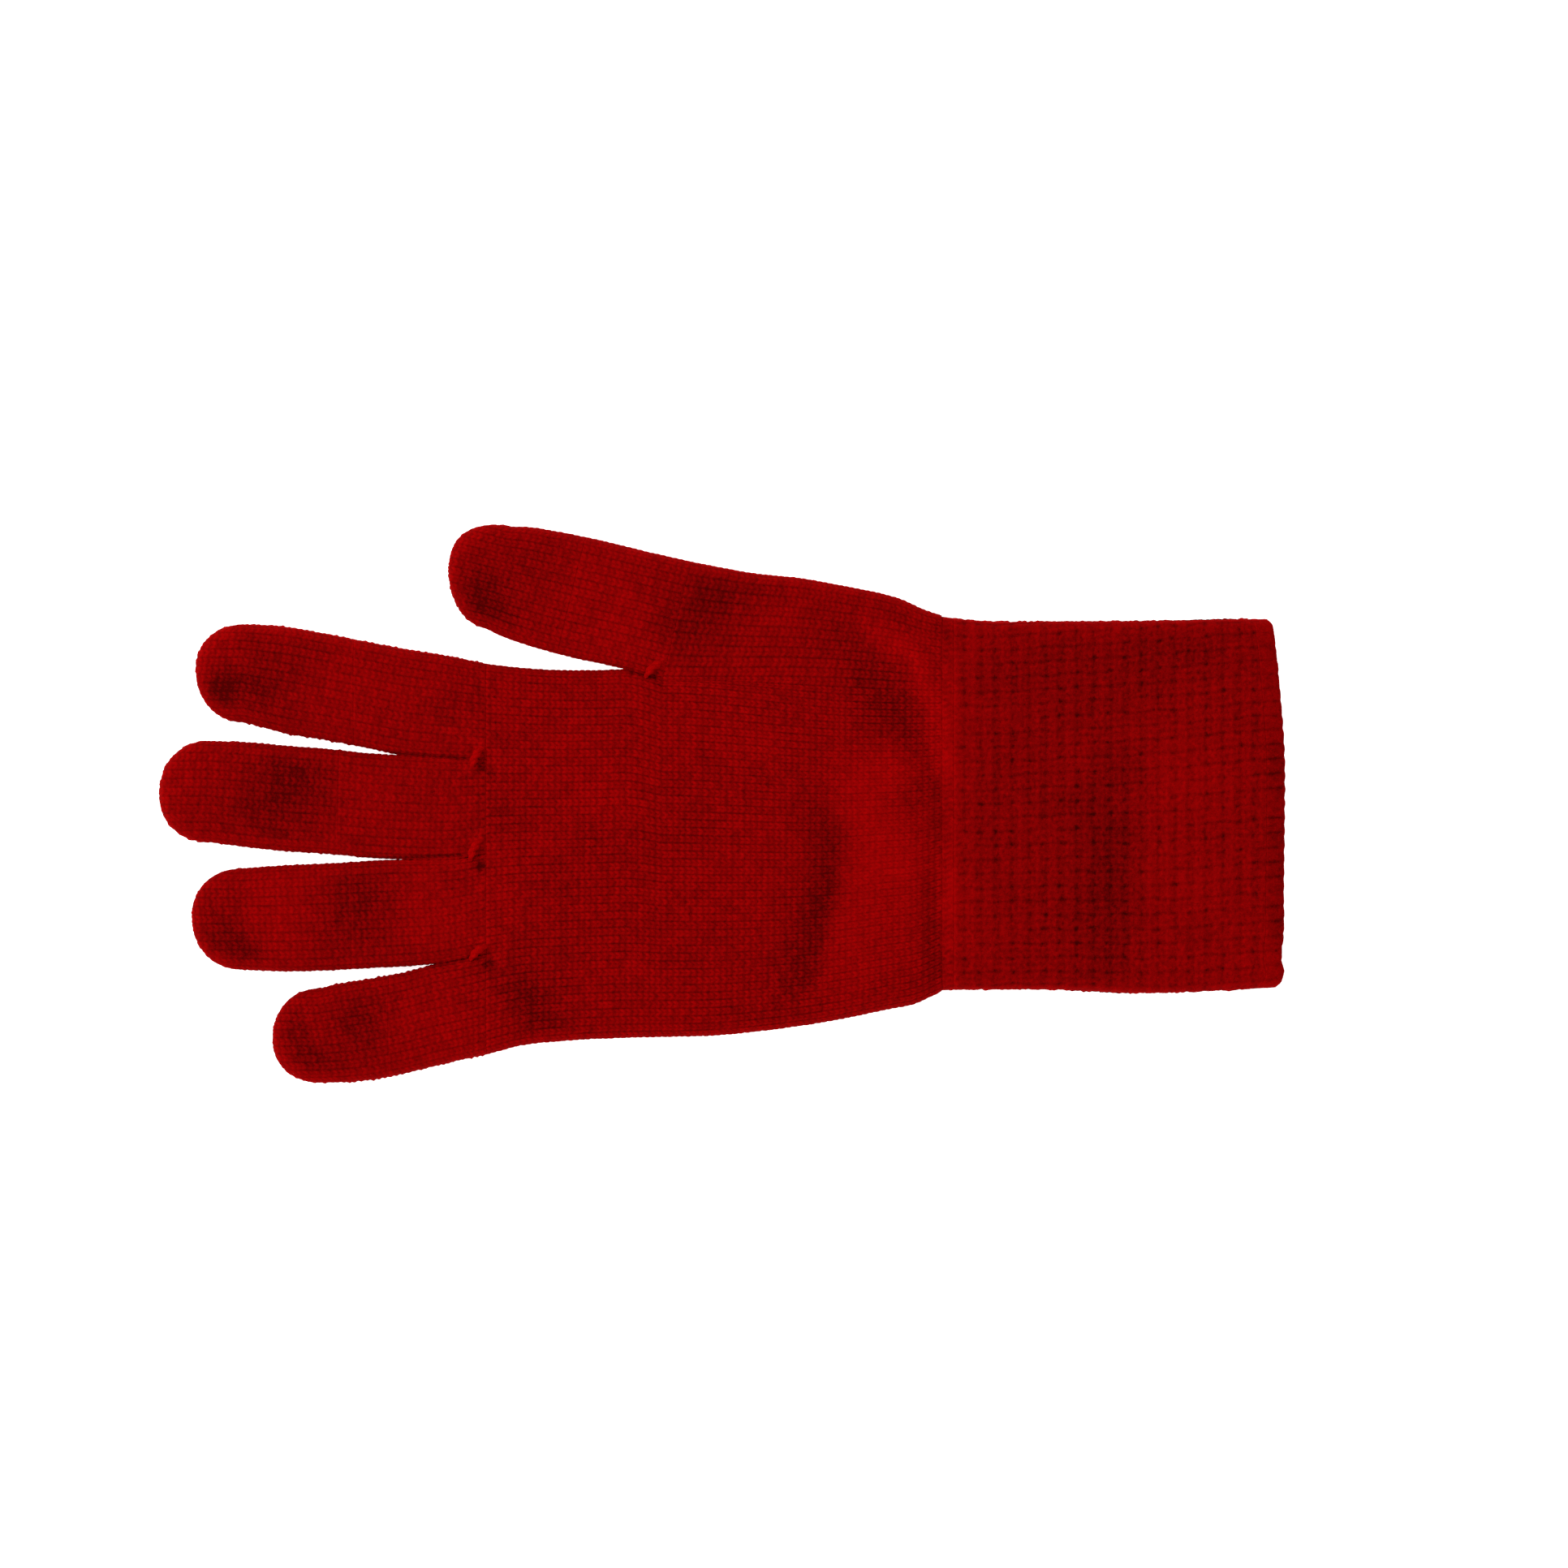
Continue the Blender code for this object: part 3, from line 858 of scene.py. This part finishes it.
def band_piece(name, x0, x1, rows, columns, knit, pattern, amount, mouth=None, scallops=0.0, lip=False):
    """One straight band of the wrist between two x positions.

    mouth(g) bends it to the cuff's edge, and scallops is how far each rib stands out there.
    """
    t = np.broadcast_to(np.arange(columns + 1) / columns, (rows + 1, columns + 1))
    g = np.broadcast_to((np.arange(rows + 1) / rows)[:, None], t.shape)

    def plan(inset):
        x = x0 + (x1 - x0) * g
        low, high = smooth(x, *np.array(CUFF_LOW).T) + inset, smooth(x, *np.array(CUFF_TOP).T) - inset
        y = low + across(t, high - low)
        if mouth is not None:
            x = x + smooth(y, *np.array(MOUTH_EDGE).T) * mouth(g)
        if scallops:
            uneven = 0.4 + 0.6 * mottle(t * CELLS_Y, 0 * t)
            x = x + scallops * np.cos(2 * math.pi * t * CELLS_Y) * uneven * g**2
        return x, y

    rim = np.zeros(t.shape, bool)
    rim[:, 0] = rim[:, -1] = True
    x, y = plan(0.0)
    lines = [curve(CUFF_LOW), curve(CUFF_TOP)]
    return make_tube(name, plan, lines, rim, knit(x, y, t, g), pattern, amount, open_rows(0, rows), lip=lip)


def rib_knit(x, y, t, g):
    lean = (x - CUFF_X) * 0.052 * np.clip(0.25 + (y + 43) / 70, 0.1, 1.1)
    return (x - CUFF_X) / CELL_X + 0.35, t * CELLS_Y - lean / 3.15


# ---------------------------------------------------------------- fork ties


def tie_piece(name, start, end):
    """Two twisted strands drawn up into a little ridge across the end of a slit."""
    body = bmesh.new()
    start, end = Vector((*start, 0)), Vector((*end, 0))
    run = (end - start).normalized()
    side = Vector((-run.y, run.x, 0))
    steps, around = 34, 10
    for strand in range(2):
        rings = []
        for k in range(steps + 1):
            g = k / steps
            spin = 2 * math.pi * (g * 1.6 + strand / 2)
            slim = math.sin(math.pi * min(max(g, 0.02), 0.98)) ** 0.4
            centre = start.lerp(end, g) + side * (0.55 * math.sin(math.pi * g) - 0.3)
            centre += side * (0.34 * math.cos(spin) * slim)
            centre.z = MID + 3.3 + 1.35 * math.sin(math.pi * g) ** 0.7 + 0.26 * math.sin(spin) * slim
            ring = []
            for q in range(around):
                a = 2 * math.pi * q / around
                r = 0.70 * slim * (1 + 0.10 * math.cos(3 * (a + 9 * g)))
                at = centre + side * (r * math.cos(a)) + Vector((0, 0, r * math.sin(a)))
                ring.append(body.verts.new(at * MM))
            rings.append(ring)
        for a, b in zip(rings, rings[1:]):
            for q in range(around):
                body.faces.new((a[q], a[(q + 1) % around], b[(q + 1) % around], b[q]))
        body.faces.new(rings[0][::-1])
        body.faces.new(rings[-1])
    bmesh.ops.recalc_face_normals(body, faces=body.faces)
    mesh = bpy.data.meshes.new(name)
    body.to_mesh(mesh)
    body.free()
    # The ties are coloured lighter: painted highlight on the raised ridge.
    mesh.attributes.new("relief", "FLOAT", "POINT").data.foreach_set("value", [0.62] * len(mesh.vertices))
    mesh.attributes.new("hollow", "FLOAT", "POINT").data.foreach_set("value", [-0.1] * len(mesh.vertices))
    mesh.shade_smooth()
    piece = bpy.data.objects.new(name, mesh)
    bpy.context.scene.collection.objects.link(piece)
    return piece


# ---------------------------------------------------------------- materials


def yarn(name, groove_shade, loop_light, fuzz=1.0):
    """Fuzzy knitted yarn: colour follows the relief, painted shade in the grooves and painted light on the
    loops, with soft mottling and fine fibres.

    The first colour is the painted shade in the grooves, the second the painted light on the loops; fuzz is
    the fibres' strength.
    """
    made = bpy.data.materials.new(name)
    made.use_nodes = True
    tree = made.node_tree
    nodes, links = tree.nodes, tree.links
    shader = nodes["Principled BSDF"]
    shader.inputs["Specular IOR Level"].default_value = 0.01
    shader.inputs["Sheen Weight"].default_value = 0.30
    shader.inputs["Sheen Roughness"].default_value = 0.45
    shader.inputs["Sheen Tint"].default_value = (0.9, 0.004, 0.004, 1)

    def attribute(key):
        node = nodes.new("ShaderNodeAttribute")
        node.attribute_name = key
        return node.outputs["Fac"]

    def math_node(op, a, b):
        node = nodes.new("ShaderNodeMath")
        node.operation = op
        for k, value in enumerate((a, b)):
            if isinstance(value, (int, float)):
                node.inputs[k].default_value = value
            else:
                links.new(value, node.inputs[k])
        return node.outputs[0]

    def noise(scale, rough):
        node = nodes.new("ShaderNodeTexNoise")
        node.inputs["Scale"].default_value = scale
        node.inputs["Detail"].default_value = 3.0
        node.inputs["Roughness"].default_value = rough
        links.new(where, node.inputs["Vector"])
        return node.outputs["Fac"]

    def varied(level, field, weight):
        return math_node("ADD", level, math_node("MULTIPLY", math_node("SUBTRACT", field, 0.5), weight))

    where = nodes.new("ShaderNodeTexCoord").outputs["Object"]
    relief = attribute("relief")
    hollow = attribute("hollow")
    wide = noise(90.0, 0.6)
    stitch = noise(1050.0, 0.65)
    fibre = noise(2700.0, 0.75)
    # Painted shade in the grooves and painted light on the loop tops, from the relief.
    level = math_node("ADD", math_node("MULTIPLY", relief, 0.66), 0.05)
    level = varied(level, wide, 0.16)
    level = varied(level, stitch, 0.70 * fuzz)
    level = varied(level, fibre, 0.80 * fuzz)
    # Darker by the painted shade attribute: painted shade in hollows, creases, slits and the lining,
    # painted highlight on swells, ridges, rims and ties.
    level = math_node("SUBTRACT", level, math_node("MULTIPLY", hollow, 0.40))
    ramp = nodes.new("ShaderNodeValToRGB")
    ramp.color_ramp.elements[0].position = 0.0
    ramp.color_ramp.elements[0].color = (*groove_shade, 1)
    ramp.color_ramp.elements[1].position = 0.85
    ramp.color_ramp.elements[1].color = (*loop_light, 1)
    links.new(level, ramp.inputs["Fac"])
    links.new(ramp.outputs["Color"], shader.inputs["Base Color"])
    rough = math_node("ADD", 0.82, math_node("MULTIPLY", fibre, 0.16))
    links.new(rough, shader.inputs["Roughness"])
    bump = nodes.new("ShaderNodeBump")
    bump.inputs["Strength"].default_value = 0.35
    bump.inputs["Distance"].default_value = 0.00018
    links.new(math_node("ADD", math_node("MULTIPLY", fibre, 0.7), stitch), bump.inputs["Height"])
    links.new(bump.outputs["Normal"], shader.inputs["Normal"])
    return made


# ---------------------------------------------------------------- build and attach

# How far past each fold line, in mm, the second point of each bend entry lies.
WRIST_BEND = 14
KNUCKLE_BEND = 10
FOLD_BEND = 9

# Red yarn colours: painted shade in the grooves, painted light on the loops.
GROOVE_SHADE, LOOP_LIGHT = (0.052, 0.0001, 0.0002), (0.285, 0.0004, 0.0006)
KNIT = yarn("stockinette_red", GROOVE_SHADE, LOOP_LIGHT, fuzz=0.84)
RIBBED = yarn("waffle_rib_red", (0.034, 0.0001, 0.0002), (0.256, 0.0004, 0.0006))
EDGE = yarn("edge_red", GROOVE_SHADE, LOOP_LIGHT)
# A lighter copy of the red yarn for the ties: painted highlight on the ridge.
LIT_STRAND = yarn("tie_red_painted_light", (0.12, 0.0001, 0.0002), (0.36, 0.0004, 0.0006))


def attach(piece, material, node, body=None, bend=None):
    piece.data.materials.append(material)
    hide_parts(node)
    if bend is None:
        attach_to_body(piece, body)
    else:
        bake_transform(piece)


def point(xy):
    return (float(xy[0]) * MM, float(xy[1]) * MM, MID * MM)


attach(hand_piece(), KNIT, "hand_tube", "hand")

seam = band_piece(
    "wrist_join", SEAM_X, CUFF_X, 8, SEAM_WALES * PER_WALE,
    lambda x, y, t, g: (t * SEAM_WALES, g), seam_pattern, SEAM_RELIEF,
)
attach(seam, EDGE, "wrist_seam", "hand")

# Eleven rows for each waffle cell, in steps of four so that the coarser lining fits.
cuff_rows = int(round((WELT_X - CUFF_X) / CELL_X * 11 / 4)) * 4
cuff = band_piece(
    "cuff", CUFF_X, WELT_X, cuff_rows, CELLS_Y * PER_CELL, rib_knit, waffle, WAFFLE,
    mouth=lambda g: g**1.5,
)
attach(cuff, RIBBED, "rib_cuff",
       bend=("hand", "cuff", point((CUFF_X, 0)), point((CUFF_X + WRIST_BEND, 0))))

welt = band_piece(
    "cuff_edge", WELT_X, MOUTH_X - 0.1, 20, CELLS_Y * PER_CELL,
    lambda x, y, t, g: (rib_knit(x, y, t, g)[1], g), welt_pattern, WELT_RELIEF,
    mouth=np.ones_like, scallops=0.15, lip=True,
)
attach(welt, EDGE, "cuff_welt", "cuff")

for digit in ("index", "middle", "ring", "little", "thumb"):
    along = digit_shape(digit)[1]
    root, fold = hinge(digit + "_knuckle"), hinge(digit + "_middle_fold")
    attach(digit_piece(digit, "lower"), KNIT, digit + "_lower_tube",
           bend=("hand", digit + "_lower", point(root), point(root + along * KNUCKLE_BEND)))
    attach(digit_piece(digit, "tip"), KNIT, digit + "_tip_pocket",
           bend=(digit + "_lower", digit + "_tip", point(fold), point(fold + along * FOLD_BEND)))

for key, (at, _, _, *ends) in SLITS.items():
    tie = tie_piece("tie_" + key, *((at[0] + dx, at[1] + dy) for dx, dy in ends))
    attach(tie, LIT_STRAND, "fork_tie_" + key, "hand")

# ---------------------------------------------------------------- studio


def studio():
    mesh = bpy.data.meshes.new("floor")
    r = 3.0
    mesh.from_pydata([(-r, -r, 0), (r, -r, 0), (r, r, 0), (-r, r, 0)], [], [(0, 1, 2, 3)])
    floor = bpy.data.objects.new("floor", mesh)
    floor.location.z = -0.0002
    bpy.context.scene.collection.objects.link(floor)
    paper = bpy.data.materials.new("pale_floor")
    paper.use_nodes = True
    shader = paper.node_tree.nodes["Principled BSDF"]
    shader.inputs["Base Color"].default_value = (0.90, 0.90, 0.90, 1)
    shader.inputs["Roughness"].default_value = 0.9
    shader.inputs["Specular IOR Level"].default_value = 0.1
    shader.inputs["Emission Color"].default_value = (1, 1, 1, 1)
    shader.inputs["Emission Strength"].default_value = 0.8
    mesh.materials.append(paper)

    def area(name, where, size, power):
        light = bpy.data.lights.new(name, "AREA")
        light.shape = "DISK"
        light.size = size
        light.energy = power
        lamp = bpy.data.objects.new(name, light)
        lamp.location = where
        aim = Vector((0, 0, 0)) - Vector(where)
        lamp.rotation_mode = "QUATERNION"
        lamp.rotation_quaternion = aim.to_track_quat("-Z", "Y")
        bpy.context.scene.collection.objects.link(lamp)

    area("key", (-0.75, 0.25, 0.85), 0.7, 11.0)
    area("fill", (0.6, -0.6, 1.0), 1.2, 5.0)
    world = bpy.data.worlds.new("studio")
    world.use_nodes = True
    back = world.node_tree.nodes["Background"]
    back.inputs["Color"].default_value = (1, 1, 1, 1)
    back.inputs["Strength"].default_value = 0.62
    bpy.context.scene.world = world
    bpy.context.scene.view_settings.view_transform = "Standard"
    bpy.context.scene.view_settings.look = "None"


# The view straight down: the frame's width in pixels, and millimetres for each of them.
PHOTO_WIDTH = 1932
PIXEL = 0.18759


def camera():
    data = bpy.data.cameras.new("camera")
    data.lens = 110
    data.sensor_width = 36
    data.clip_end = 20
    cam = bpy.data.objects.new("camera", data)
    field = PHOTO_WIDTH * PIXEL * MM
    aim = Vector((0.01444, 0.0046, MID * MM))
    cam.location = aim + Vector((0, 0, field * data.lens / data.sensor_width))
    cam.rotation_euler = (0, 0, 0)
    bpy.context.scene.collection.objects.link(cam)
    bpy.context.scene.camera = cam


camera()
studio()
